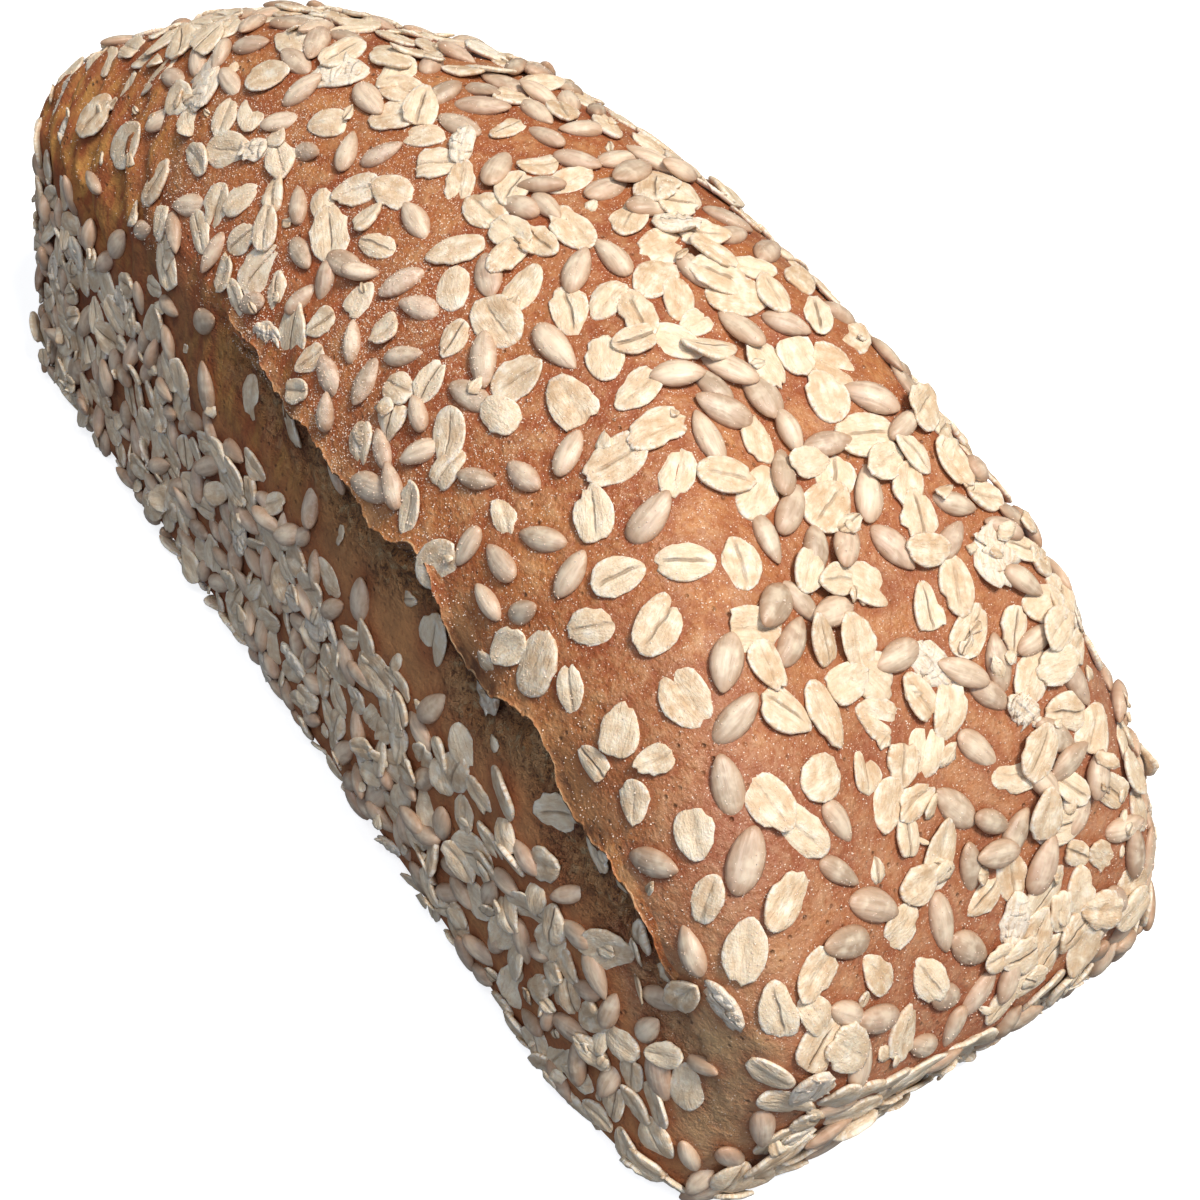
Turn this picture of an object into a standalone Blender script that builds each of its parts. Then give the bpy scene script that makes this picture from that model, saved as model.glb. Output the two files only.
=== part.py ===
"""Seeded protein bread: one uncut tin loaf, crusted with rolled oat flakes and sunflower kernels.

Units are metres with +Z up. The origin is the centre of the flat underside, the length runs
along X and the lower, rounder end is at +X. The high wall, with the torn line above it, is at -Y.
"""
import math
import random

import bmesh
import bpy
from mathutils import Matrix, Vector, noise
from mathutils.bvhtree import BVHTree

NAME = "loaf"

# Outline of the loaf on its base
LENGTH = 0.248
WIDTH = 0.117
BASE_POWER = 9.5
SHOULDER_POWER = 7.2
FOOT_RADIUS = 0.005

# Height of the straight wall on each side, and how far it leans in at that height
WALL_HEIGHT = {"-y": 0.0635, "+y": 0.0320, "+x": 0.0240, "-x": 0.0410}
WALL_LEAN = {"-y": 0.0055, "+y": 0.0098, "+x": -0.0045, "-x": -0.0070}

# Domed top: it rises towards -X and its far right quarter hangs lower
TOP_HEIGHT = 0.1035
DOME_POWER = 2.17
DOME_ROUNDING = 0.735
CREST_TILT = -0.055
CORNER_DROP = 0.012

# Torn line where the crust rose over the tin on the -Y side
TEAR_DEPTH = 0.0026
TEAR_BAND = 0.0090

# Unevenness of the crust
SWELL = 0.0018
SWELL_PITCH = 0.060
LUMP = 0.0005
LUMP_PITCH = 0.016

# Mesh of the bare loaf
CELLS_X, CELLS_Y, CELLS_Z = 20, 11, 7
FOOT_CROWDING = 1.6

# Toppings large enough to be part of the solid
SEED = 4223
TOPPING_COUNT = 206
TOPPING_PITCH = 0.0122
KERNEL_SHARE = 0.36
FLAKE_LENGTH = (0.0088, 0.0112)
FLAKE_RATIO = (0.62, 0.74)
FLAKE_RISE = 0.0012
KERNEL_LENGTH = (0.0086, 0.0106)
KERNEL_RATIO = (0.46, 0.54)
KERNEL_RISE = 0.0020

CRUST_COLOUR = (0.47, 0.24, 0.12)
CRUST_ROUGHNESS = 0.72


def blend(weight_x, weight_y, at_x, at_y):
    """Value between the ends' and the sides' values for a direction in the plan."""
    return (weight_x * at_x + weight_y * at_y) / (weight_x + weight_y + 1e-9)


def side_value(table, ux, uy):
    """Value of a per-side table in the plan direction (ux, uy) on the unit square."""
    at_x = table["+x"] if ux > 0 else table["-x"]
    at_y = table["+y"] if uy > 0 else table["-y"]
    return blend(abs(ux) ** 3, abs(uy) ** 3, at_x, at_y)


def plan_point(ux, uy, rise):
    """Outline of the loaf at a share `rise` of its wall, in a direction on the unit square."""
    power = BASE_POWER + (SHOULDER_POWER - BASE_POWER) * rise
    scale = (abs(ux) ** power + abs(uy) ** power) ** (-1.0 / power)
    lean_x = WALL_LEAN["+x"] if ux > 0 else WALL_LEAN["-x"]
    lean_y = WALL_LEAN["+y"] if uy > 0 else WALL_LEAN["-y"]
    half_x = LENGTH / 2 - rise * lean_x
    half_y = WIDTH / 2 - rise * lean_y
    return ux * scale * half_x, uy * scale * half_y


def ramp(value, low, high):
    """Smooth rise from 0 at low to 1 at high."""
    share = min(1.0, max(0.0, (value - low) / (high - low)))
    return share * share * (3.0 - 2.0 * share)


def hang(point):
    """Lower the far right quarter, less so near the base."""
    far = ramp(-point.x * 2 / LENGTH, 0.0, 0.6)
    right = ramp(point.y * 2 / WIDTH, -0.2, 0.4)
    share = min(1.0, max(0.0, (point.z - 0.010) / 0.030))
    point.z -= CORNER_DROP * far * right * share
    return point


def smooth_form(a, b, c):
    """Loaf without unevenness, for a point of the cube from -1 to 1."""
    edge = max(abs(a), abs(b))
    ux, uy = (a / edge, b / edge) if edge > 1e-5 else (1.0, 0.0)
    wall = side_value(WALL_HEIGHT, ux, uy)
    if c > 0.9999:
        inward = 1.0 - (1.0 - edge) ** 1.5
        x, y = plan_point(ux, uy, 1.0)
        crest = TOP_HEIGHT * (1.0 + CREST_TILT * ux * inward)
        z = wall + (crest - wall) * (1.0 - inward ** DOME_POWER) ** DOME_ROUNDING
        return hang(Vector((x * inward, y * inward, z)))
    if c < -0.9999:
        x, y = plan_point(ux, uy, 0.0)
        reach = 1.0 - FOOT_RADIUS / math.hypot(x, y)
        return Vector((x * edge * reach, y * edge * reach, 0.0))
    rise = (c + 1.0) / 2.0
    height = rise * wall
    x, y = plan_point(ux, uy, rise)
    inset = 0.0
    if height < FOOT_RADIUS:
        inset = FOOT_RADIUS - math.sqrt(FOOT_RADIUS ** 2 - (FOOT_RADIUS - height) ** 2)
    reach = 1.0 - inset / math.hypot(x, y)
    return hang(Vector((x * reach, y * reach, height)))


def tear_level(x):
    """Height of the torn line at a place along the loaf."""
    past = max(0.0, x - 0.070)
    return 0.0645 - 0.065 * x - 12.0 * past * past


def tear(point):
    """Depth of the groove under the torn line of the -Y shoulder."""
    if point.y > -0.3 * WIDTH:
        return 0.0
    wander = 0.003 * noise.noise(Vector((point.x * 50.0, 3.1, 0.0)))
    offset = (point.z - tear_level(point.x) + 0.007 - wander) / TEAR_BAND
    along = math.exp(-((point.x - 0.032) / 0.075) ** 6)
    return TEAR_DEPTH * along * math.exp(-offset * offset)


def loaf_point(a, b, c):
    """Uneven surface of the loaf for a point of the cube from -1 to 1."""
    point = smooth_form(a, b, c)
    if c < -0.9999:
        return point
    lift = min(1.0, point.z / 0.012)
    swell = SWELL * noise.noise(point / SWELL_PITCH + Vector((7.3, 1.9, 4.4)))
    lump = LUMP * noise.noise(point / LUMP_PITCH + Vector((2.7, 8.1, 0.6)))
    centre = Vector((point.x * 0.75, point.y * 0.3, TOP_HEIGHT * 0.35))
    outward = (point - centre).normalized()
    moved = point + outward * (swell + lump - tear(point)) * lift
    moved.z = max(moved.z, 0.0)
    return moved


def surface_frame(a, b, c):
    """Point, outward normal and a lengthwise tangent at a point of the cube's faces."""
    step = 0.004
    here = loaf_point(a, b, c)
    if abs(c) > 0.9999:
        along = loaf_point(min(a + step, 1.0), b, c) - loaf_point(a - step, b, c)
        across = loaf_point(a, b + step, c) - loaf_point(a, b - step, c)
        normal = along.cross(across) * c
    else:
        upward = loaf_point(a, b, min(c + step, 0.9998)) - loaf_point(a, b, c - step)
        if abs(a) >= abs(b):
            along = loaf_point(a, b + step, c) - loaf_point(a, b - step, c)
            normal = along.cross(upward) * math.copysign(1.0, a)
        else:
            along = loaf_point(a + step, b, c) - loaf_point(a - step, b, c)
            normal = upward.cross(along) * math.copysign(1.0, b)
    return here, normal.normalized(), along.normalized()


def random_spot(rng):
    """Random point of the cube's top and sides, evenly over the loaf's real area."""
    top = LENGTH * WIDTH * 1.15
    long_sides = LENGTH * (WALL_HEIGHT["-y"] + WALL_HEIGHT["+y"])
    ends = WIDTH * (WALL_HEIGHT["-x"] + WALL_HEIGHT["+x"])
    pick = rng.uniform(0.0, top + long_sides + ends)
    u, v = rng.uniform(-0.97, 0.97), rng.uniform(-1.0, 1.0)
    if pick < top:
        return 0.985 * u, 0.97 * v, 1.0
    if pick < top + long_sides:
        share = WALL_HEIGHT["-y"] / (WALL_HEIGHT["-y"] + WALL_HEIGHT["+y"])
        return u, (-1.0 if rng.random() < share else 1.0), 0.97 * v
    share = WALL_HEIGHT["-x"] / (WALL_HEIGHT["-x"] + WALL_HEIGHT["+x"])
    return (-1.0 if rng.random() < share else 1.0), u, 0.97 * v


def bareness(point):
    """1 on the open crust left of the crest, 0 away from it."""
    x, y = point.x / (LENGTH / 2), point.y / (WIDTH / 2)
    open_crust = math.exp(-((x - 0.42) / 0.60) ** 4) * math.exp(-((y + 0.62) / 0.44) ** 4)
    return open_crust * min(1.0, max(0.0, (point.z - tear_level(point.x) + 0.002) / 0.006))


def bare_corner(point):
    """1 on the smooth strip down the near left corner, 0 away from it."""
    x, y = point.x / (LENGTH / 2), point.y / (WIDTH / 2)
    return math.exp(-((x - 0.93) / 0.10) ** 2 - ((y + 0.86) / 0.16) ** 2)


def scatter(rng, count):
    """Places for toppings, spread by dart throwing: (frame, kind, turn) for each."""
    places, centres = [], []
    tries = 0
    while len(places) < count and tries < 60000:
        tries += 1
        a, b, c = random_spot(rng)
        point = loaf_point(a, b, c)
        pitch = TOPPING_PITCH * (1.0 + 0.25 * bareness(point) + 0.9 * bare_corner(point))
        if point.z < 0.0075 or any((point - other).length < pitch for other in centres):
            continue
        point, normal, along = surface_frame(a, b, c)
        kind = "kernel" if rng.random() < KERNEL_SHARE else "flake"
        turn = rng.uniform(0.0, math.pi)
        if abs(normal.y) > 0.75:
            turn = rng.gauss(math.radians(90), math.radians(38))
        places.append((point, normal, along, kind, turn))
        centres.append(point)
    return places


def placed(point, normal, along, turn):
    """Matrix that stands a topping on the crust, its length turned about the normal."""
    side = normal.cross(along).normalized()
    forward = side.cross(normal).normalized()
    spread = Matrix((forward, side, normal)).transposed().to_4x4()
    return Matrix.Translation(point) @ spread @ Matrix.Rotation(turn, 4, "Z")


def flake_mesh(length, width, cup):
    """Rolled oat flake: an eight-sided oval disc, thinner at its rim."""
    bm = bmesh.new()
    bmesh.ops.create_cone(bm, cap_ends=True, cap_tris=True, segments=8,
                          radius1=0.5, radius2=0.5, depth=1.0)
    for vert in bm.verts:
        x, y, z = vert.co
        rim = math.hypot(x, y) * 2.0
        narrow = 1.0 - 0.16 * (x + 0.5)
        vert.co.x = x * length
        vert.co.y = y * width * narrow
        vert.co.z = (FLAKE_RISE * (1.0 - 0.35 * rim) + cup * x * x) if z > 0 else -FLAKE_RISE
    return bm


def kernel_mesh(length, width):
    """Sunflower kernel: a drop with one pointed end."""
    bm = bmesh.new()
    bmesh.ops.create_uvsphere(bm, u_segments=6, v_segments=4, radius=0.5)
    bmesh.ops.rotate(bm, verts=bm.verts, matrix=Matrix.Rotation(math.pi / 2, 3, "Y"))
    for vert in bm.verts:
        x, y, z = vert.co
        taper = 1.0 - 0.50 * max(0.0, x + 0.05) - 0.12 * max(0.0, -x)
        vert.co.x = x * length
        vert.co.y = y * width * taper
        vert.co.z = z * 2.0 * KERNEL_RISE * taper
    return bm


def add_object(name, bm, collection, material=None):
    """Object with the mesh of a bmesh, linked to a collection."""
    mesh = bpy.data.meshes.new(name)
    bm.to_mesh(mesh)
    bm.free()
    obj = bpy.data.objects.new(name, mesh)
    collection.objects.link(obj)
    if material is not None:
        mesh.materials.append(material)
    return obj


def bare_loaf():
    """Cube cut into cells and drawn out to the loaf's surface."""
    bm = bmesh.new()
    bmesh.ops.create_cube(bm, size=2.0)
    for axis, cells in enumerate((CELLS_X, CELLS_Y, CELLS_Z)):
        for index in range(1, cells):
            place = -1.0 + 2.0 * index / cells
            if axis == 2:
                place = -1.0 + 2.0 * (index / cells) ** FOOT_CROWDING
            else:
                place = 0.45 * place + 0.55 * math.sin(place * math.pi / 2)
            point, normal = Vector((0, 0, 0)), Vector((0, 0, 0))
            point[axis], normal[axis] = place, 1.0
            geometry = bm.verts[:] + bm.edges[:] + bm.faces[:]
            bmesh.ops.bisect_plane(bm, geom=geometry, plane_co=point, plane_no=normal)
    for vert in bm.verts:
        a, b, c = vert.co
        vert.co = loaf_point(a, b, c)
    underside = [face for face in bm.faces if all(vert.co.z < 1e-6 for vert in face.verts)]
    bmesh.ops.dissolve_faces(bm, faces=underside)
    bmesh.ops.recalc_face_normals(bm, faces=bm.faces)
    return bm


def crust_material():
    material = bpy.data.materials.new("crust")
    material.use_nodes = True
    shader = material.node_tree.nodes["Principled BSDF"]
    shader.inputs["Base Color"].default_value = (*CRUST_COLOUR, 1.0)
    shader.inputs["Roughness"].default_value = CRUST_ROUGHNESS
    shader.inputs["Metallic"].default_value = 0.0
    return material


def keep_largest_body(mesh):
    """Drop scraps that the union left loose."""
    bm = bmesh.new()
    bm.from_mesh(mesh)
    unseen, bodies = set(bm.verts), []
    while unseen:
        body, front = set(), [unseen.pop()]
        while front:
            vert = front.pop()
            body.add(vert)
            near = {edge.other_vert(vert) for edge in vert.link_edges} & unseen
            unseen -= near
            front.extend(near)
        bodies.append(body)
    bodies.sort(key=len)
    for body in bodies[:-1]:
        bmesh.ops.delete(bm, geom=list(body), context="VERTS")
    bmesh.ops.triangulate(bm, faces=bm.faces)
    bm.to_mesh(mesh)
    bm.free()


def build():
    for obj in list(bpy.data.objects):
        bpy.data.objects.remove(obj)
    parts = bpy.data.collections.new("protein_bread")
    toppings = bpy.data.collections.new("toppings")
    for collection in (parts, toppings):
        bpy.context.scene.collection.children.link(collection)

    loaf = add_object(NAME, bare_loaf(), parts, crust_material())

    bm = bmesh.new()
    bm.from_mesh(loaf.data)
    crust = BVHTree.FromBMesh(bm)
    bm.free()

    rng = random.Random(SEED)
    for index, (point, normal, along, kind, turn) in enumerate(scatter(rng, TOPPING_COUNT)):
        if kind == "flake":
            length = rng.uniform(*FLAKE_LENGTH)
            bm = flake_mesh(length, length * rng.uniform(*FLAKE_RATIO), rng.uniform(-0.0016, 0.0016))
        else:
            length = rng.uniform(*KERNEL_LENGTH)
            bm = kernel_mesh(length, length * rng.uniform(*KERNEL_RATIO))
        topping = add_object(f"{kind}_{index}", bm, toppings)
        on_crust = crust.find_nearest(point)[0]
        topping.matrix_world = placed(on_crust, normal, along, turn)

    union = loaf.modifiers.new("toppings", "BOOLEAN")
    union.operation = "UNION"
    union.operand_type = "COLLECTION"
    union.collection = toppings
    union.solver = "MANIFOLD"
    bpy.context.view_layer.update()
    fused = bpy.data.meshes.new_from_object(loaf.evaluated_get(bpy.context.evaluated_depsgraph_get()))
    loaf.modifiers.remove(union)
    loaf.data = fused
    for obj in list(toppings.objects):
        bpy.data.objects.remove(obj)
    bpy.data.collections.remove(toppings)
    keep_largest_body(loaf.data)


build()
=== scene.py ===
"""Seeded protein bread: looks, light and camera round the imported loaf.

The loaf's form and its first toppings repeat the values and the seed of the model's source.
Metres, +Z up, +X towards the low rounded end, the high torn wall at -Y.
"""

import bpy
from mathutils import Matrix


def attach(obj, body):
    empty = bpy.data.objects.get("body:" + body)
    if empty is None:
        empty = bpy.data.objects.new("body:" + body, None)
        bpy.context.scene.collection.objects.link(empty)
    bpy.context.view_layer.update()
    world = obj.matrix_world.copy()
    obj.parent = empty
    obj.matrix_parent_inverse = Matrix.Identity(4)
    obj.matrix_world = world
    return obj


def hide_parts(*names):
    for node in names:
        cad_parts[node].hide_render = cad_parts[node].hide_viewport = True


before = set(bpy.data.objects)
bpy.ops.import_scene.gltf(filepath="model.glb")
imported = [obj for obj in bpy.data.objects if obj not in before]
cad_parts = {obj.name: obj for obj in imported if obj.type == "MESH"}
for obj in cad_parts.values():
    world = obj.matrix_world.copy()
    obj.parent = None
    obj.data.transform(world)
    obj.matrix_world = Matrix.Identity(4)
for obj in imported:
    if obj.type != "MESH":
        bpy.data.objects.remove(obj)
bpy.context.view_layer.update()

import math
import random
from itertools import product
from types import SimpleNamespace

import bmesh
import bpy
import numpy as np
from mathutils import Matrix, Vector, noise
from mathutils.bvhtree import BVHTree
from mathutils.kdtree import KDTree

# Form of the loaf, as in the model's source
LENGTH = 0.248
WIDTH = 0.117
BASE_POWER = 9.5
SHOULDER_POWER = 7.2
FOOT_RADIUS = 0.005
WALL_HEIGHT = {"-y": 0.0635, "+y": 0.0320, "+x": 0.0240, "-x": 0.0410}
WALL_LEAN = {"-y": 0.0055, "+y": 0.0098, "+x": -0.0045, "-x": -0.0070}
TOP_HEIGHT = 0.1035
DOME_POWER = 2.17
DOME_ROUNDING = 0.735
CREST_TILT = -0.055
CORNER_DROP = 0.012
TEAR_DEPTH = 0.0026
TEAR_BAND = 0.0090
SWELL = 0.0018
SWELL_PITCH = 0.060
LUMP = 0.0005
LUMP_PITCH = 0.016
FOOT_CROWDING = 1.6
FRAME_STEP = 0.004

# Toppings of the solid, as in the model's source
SEED = 4223
TOPPING_COUNT = 206
TOPPING_PITCH = 0.0122
TOPPING_TRIES = 60000
KERNEL_SHARE = 0.36
FIRST_LENGTH = {"flake": (0.0088, 0.0112), "kernel": (0.0086, 0.0106)}
FIRST_RATIO = {"flake": (0.62, 0.74), "kernel": (0.46, 0.54)}

# Fine crust
FINE_CELLS = (236, 112, 50)
UNDERSIDE_LIFT = 0.0005
WRINKLE = 0.00020
WRINKLE_PITCH = 0.0060
GRAIN = 0.00010
GRAIN_PITCH = 0.0022
TEAR_LIP = 0.0009
TEAR_CUT = 0.0030
LIP_START, LIP_END, LIP_STEP = -0.030, 0.106, 0.00035
LIP_REACH = 0.0021

# Section of the lip: place down the crust, 1 for its tip, and height off it
LIP_SECTION = ((-0.0020, -0.00040), (-0.0010, -0.00004), (0.0004, 0.00010), (0.0016, 0.00028),
               (0.0024, 0.00040), (1.0, 0.00042), (1.0, 0.00008), (0.0016, -0.00050),
               (0.0, -0.0012))

# Finer toppings
MORE_TRIES = 60000
USUAL_PITCH = 0.0060
MORE_LENGTH = {"flake": (0.0078, 0.0104), "kernel": (0.0078, 0.0102)}
MORE_RATIO = {"flake": (0.56, 0.77), "kernel": (0.44, 0.55)}
MORE_KERNEL_SHARE = 0.38
SIDE_FACING = -0.6
SIDE_SCALE = 0.84
SIDE_LOOSENESS = 1.7
FLOURY_SHARE = 0.060
FRAGMENT_COUNT = 420
FRAGMENT_LENGTH = (0.0020, 0.0052)
GRAIN_COUNT = 20000
GRAIN_RADIUS = (0.00007, 0.00018)
FLAKE_THICKNESS = 0.00068
KERNEL_THICKNESS = 0.0025
MOST_STACK = 0.0026
NEIGHBOUR_CELL = 0.011
UNDERSIDE_TRIES = 5000
UNDERSIDE_PITCH = 0.0088
UNDERSIDE_REACH = (0.112, 0.050)
UNDERSIDE_KERNEL_SHARE = 0.4
UNDERSIDE_LENGTH = (0.0080, 0.0104)
UNDERSIDE_RATIO = {"flake": (0.62, 0.80), "kernel": (0.44, 0.52)}

# Camera at the photo's viewing angle
VIEW_AZIMUTH = 46.89
VIEW_ELEVATION = 45.93
VIEW_ROLL = 11.00
VIEW_TARGET = Vector((0.0434, -0.0216, 0.050))
VIEW_DISTANCE = 0.2849
FOCAL_PIXELS = 1716.1
IMAGE_PIXELS = 1200
SENSOR = 36.0


# Form of the loaf

def by_side(table, ux, uy):
    """Values of a per-side table for the end and the long side that a direction faces."""
    return table["+x" if ux > 0 else "-x"], table["+y" if uy > 0 else "-y"]


def side_value(table, ux, uy):
    """Value of a per-side table in the plan direction (ux, uy) on the unit square."""
    at_x, at_y = by_side(table, ux, uy)
    weight_x, weight_y = abs(ux) ** 3, abs(uy) ** 3
    return (weight_x * at_x + weight_y * at_y) / (weight_x + weight_y + 1e-9)


def plan_point(ux, uy, rise):
    """Outline of the loaf at a share `rise` of its wall, in a direction on the unit square."""
    power = BASE_POWER + (SHOULDER_POWER - BASE_POWER) * rise
    scale = (abs(ux) ** power + abs(uy) ** power) ** (-1.0 / power)
    lean_x, lean_y = by_side(WALL_LEAN, ux, uy)
    half_x = LENGTH / 2 - rise * lean_x
    half_y = WIDTH / 2 - rise * lean_y
    return ux * scale * half_x, uy * scale * half_y


def linear(value, low, high):
    """Even rise from 0 at low to 1 at high."""
    return min(1.0, max(0.0, (value - low) / (high - low)))


def ramp(value, low, high):
    """Smooth rise from 0 at low to 1 at high."""
    share = linear(value, low, high)
    return share * share * (3.0 - 2.0 * share)


def hump(value, centre, half, power=2):
    """1 at the centre, falling off evenly to both sides."""
    return math.exp(-((value - centre) / half) ** power)


def in_plan(point):
    """Place of a point along and across the loaf, from -1 to 1."""
    return point.x / (LENGTH / 2), point.y / (WIDTH / 2)


def hang(point):
    """Lower the far right quarter, less so near the base."""
    x, y = in_plan(point)
    quarter = ramp(-x, 0.0, 0.6) * ramp(y, -0.2, 0.4)
    point.z -= CORNER_DROP * quarter * linear(point.z, 0.010, 0.040)
    return point


def smooth_form(a, b, c):
    """Loaf without unevenness, for a point of the cube from -1 to 1."""
    edge = max(abs(a), abs(b))
    ux, uy = (a / edge, b / edge) if edge > 1e-5 else (1.0, 0.0)
    wall = side_value(WALL_HEIGHT, ux, uy)
    if c > 0.9999:
        inward = 1.0 - (1.0 - edge) ** 1.5
        x, y = plan_point(ux, uy, 1.0)
        crest = TOP_HEIGHT * (1.0 + CREST_TILT * ux * inward)
        z = wall + (crest - wall) * (1.0 - inward ** DOME_POWER) ** DOME_ROUNDING
        return hang(Vector((x * inward, y * inward, z)))
    if c < -0.9999:
        x, y = plan_point(ux, uy, 0.0)
        reach = 1.0 - FOOT_RADIUS / math.hypot(x, y)
        return Vector((x * edge * reach, y * edge * reach, 0.0))
    rise = (c + 1.0) / 2.0
    height = rise * wall
    x, y = plan_point(ux, uy, rise)
    inset = 0.0
    if height < FOOT_RADIUS:
        inset = FOOT_RADIUS - math.sqrt(FOOT_RADIUS ** 2 - (FOOT_RADIUS - height) ** 2)
    reach = 1.0 - inset / math.hypot(x, y)
    return hang(Vector((x * reach, y * reach, height)))


def tear_level(x):
    """Height of the torn line at a place along the loaf."""
    past = max(0.0, x - 0.070)
    return 0.0645 - 0.065 * x - 12.0 * past * past


def wobble(x, rate, row, lane=0.0):
    """Noise along the loaf, from -1 to 1."""
    return noise.noise(Vector((x * rate, row, lane)))


def tear(point):
    """Depth of the groove under the torn line of the -Y shoulder."""
    if point.y > -0.3 * WIDTH:
        return 0.0
    level = tear_level(point.x) - 0.007 + 0.003 * wobble(point.x, 50.0, 3.1)
    return TEAR_DEPTH * hump(point.x, 0.032, 0.075, 6) * hump(point.z, level, TEAR_BAND)


def outward_at(point):
    """Direction away from the loaf's core."""
    centre = Vector((point.x * 0.75, point.y * 0.3, TOP_HEIGHT * 0.35))
    return (point - centre).normalized()


def loaf_point(a, b, c):
    """Uneven surface of the loaf for a point of the cube from -1 to 1."""
    point = smooth_form(a, b, c)
    if c < -0.9999:
        return point
    lift = min(1.0, point.z / 0.012)
    swell = SWELL * noise.noise(point / SWELL_PITCH + Vector((7.3, 1.9, 4.4)))
    lump = LUMP * noise.noise(point / LUMP_PITCH + Vector((2.7, 8.1, 0.6)))
    moved = point + outward_at(point) * (swell + lump - tear(point)) * lift
    moved.z = max(moved.z, 0.0)
    return moved


def surface_frame(a, b, c):
    """Point, outward normal and level tangent at a point of the cube's faces."""
    def run(da=0.0, db=0.0, dc=0.0):
        return loaf_point(a + da, b + db, c + dc) - loaf_point(a - da, b - db, c - dc)
    if abs(c) > 0.9999:
        along = run(da=FRAME_STEP)
        normal = along.cross(run(db=FRAME_STEP)) * c
    elif abs(a) >= abs(b):
        along = run(db=FRAME_STEP)
        normal = along.cross(run(dc=FRAME_STEP)) * math.copysign(1.0, a)
    else:
        along = run(da=FRAME_STEP)
        normal = run(dc=FRAME_STEP).cross(along) * math.copysign(1.0, b)
    return loaf_point(a, b, c), normal.normalized(), along.normalized()


def random_spot(rng):
    """Random point of the cube's top and sides, evenly over the loaf's real area."""
    def either(low, high):
        share = WALL_HEIGHT[low] / (WALL_HEIGHT[low] + WALL_HEIGHT[high])
        return -1.0 if rng.random() < share else 1.0
    top = LENGTH * WIDTH * 1.15
    long_sides = LENGTH * (WALL_HEIGHT["-y"] + WALL_HEIGHT["+y"])
    ends = WIDTH * (WALL_HEIGHT["-x"] + WALL_HEIGHT["+x"])
    pick = rng.uniform(0.0, top + long_sides + ends)
    u, v = rng.uniform(-0.97, 0.97), rng.uniform(-1.0, 1.0)
    if pick < top:
        return 0.985 * u, 0.97 * v, 1.0
    if pick < top + long_sides:
        return u, either("-y", "+y"), 0.97 * v
    return either("-x", "+x"), u, 0.97 * v


def bareness(point):
    """1 on the open crust left of the crest, 0 away from it."""
    x, y = in_plan(point)
    left = hump(x, 0.42, 0.60, 4) * hump(y, -0.62, 0.44, 4)
    return left * linear(point.z - tear_level(point.x), -0.002, 0.004)


def bare_corner(point):
    """1 on the smooth strip down the near left corner, 0 away from it."""
    x, y = in_plan(point)
    return hump(x, 0.93, 0.10) * hump(y, -0.86, 0.16)


def scatter(rng, count):
    """Places for toppings, spread by dart throwing: point, normal, tangent, kind and turn."""
    places, centres = [], []
    tries = 0
    while len(places) < count and tries < TOPPING_TRIES:
        tries += 1
        a, b, c = random_spot(rng)
        point = loaf_point(a, b, c)
        pitch = TOPPING_PITCH * (1.0 + 0.25 * bareness(point) + 0.9 * bare_corner(point))
        if point.z < 0.0075 or any((point - other).length < pitch for other in centres):
            continue
        point, normal, along = surface_frame(a, b, c)
        kind = "kernel" if rng.random() < KERNEL_SHARE else "flake"
        turn = rng.uniform(0.0, math.pi)
        if abs(normal.y) > 0.75:
            turn = rng.gauss(math.radians(90), math.radians(38))
        places.append((point, normal, along, kind, turn))
        centres.append(point)
    return places


# Fine crust

def torn_line(x):
    """Height of the jagged edge of the crust along the -Y shoulder."""
    steps = 0.0035 * hump(x, 0.035, 0.008)
    steps -= 0.0045 * hump(x, 0.051, 0.006)
    steps -= 0.0050 * hump(x, 0.079, 0.011)
    jag = 0.0018 * wobble(x, 240.0, 1.7) + 0.0020 * wobble(x, 95.0, 6.4, 3.0)
    return tear_level(x) + steps + jag


def torn_share(x):
    """1 where the crust is torn, 0 beyond both ends of the line."""
    return hump(x, 0.038, 0.070, 6)


def torn_profile(point):
    """Outward shift, and how torn the crust is, along the line on the -Y shoulder."""
    if point.y > -0.25 * WIDTH or point.z < 0.02:
        return 0.0, 0.0
    over = point.z - torn_line(point.x)
    along = torn_share(point.x)
    if over > 0.0:
        return TEAR_LIP * along * hump(over, 0.0, 0.0045), 0.0
    deep = hump(over, -0.0015, 0.0068)
    ragged = 0.80 + 1.2 * noise.noise(point * 240.0) + 0.9 * noise.noise(point * 560.0)
    return -TEAR_CUT * along * deep * ragged, along * hump(over, 0.0, 0.0115, 4)


def folds(point):
    """How wrinkled the crust is at the far left shoulder, and the height of its wrinkles."""
    x, y = in_plan(point)
    corner = hump(x, -0.78, 0.27, 4) * hump(y, -0.88, 0.24)
    hollow = hump(x, -0.16, 0.18, 4) * hump(y, -0.91, 0.10)
    above = linear(point.z, 0.044, 0.054)
    warp = 5.0 * noise.noise(point * 55.0) + 2.4 * noise.noise(point * 160.0)
    wave = math.sin((point.x + 0.5 * point.z) * 620.0 + warp)
    depth = 0.0013 * max(corner, 0.3 * hollow) * above * wave
    return max(corner, hollow) * above, depth


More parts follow.
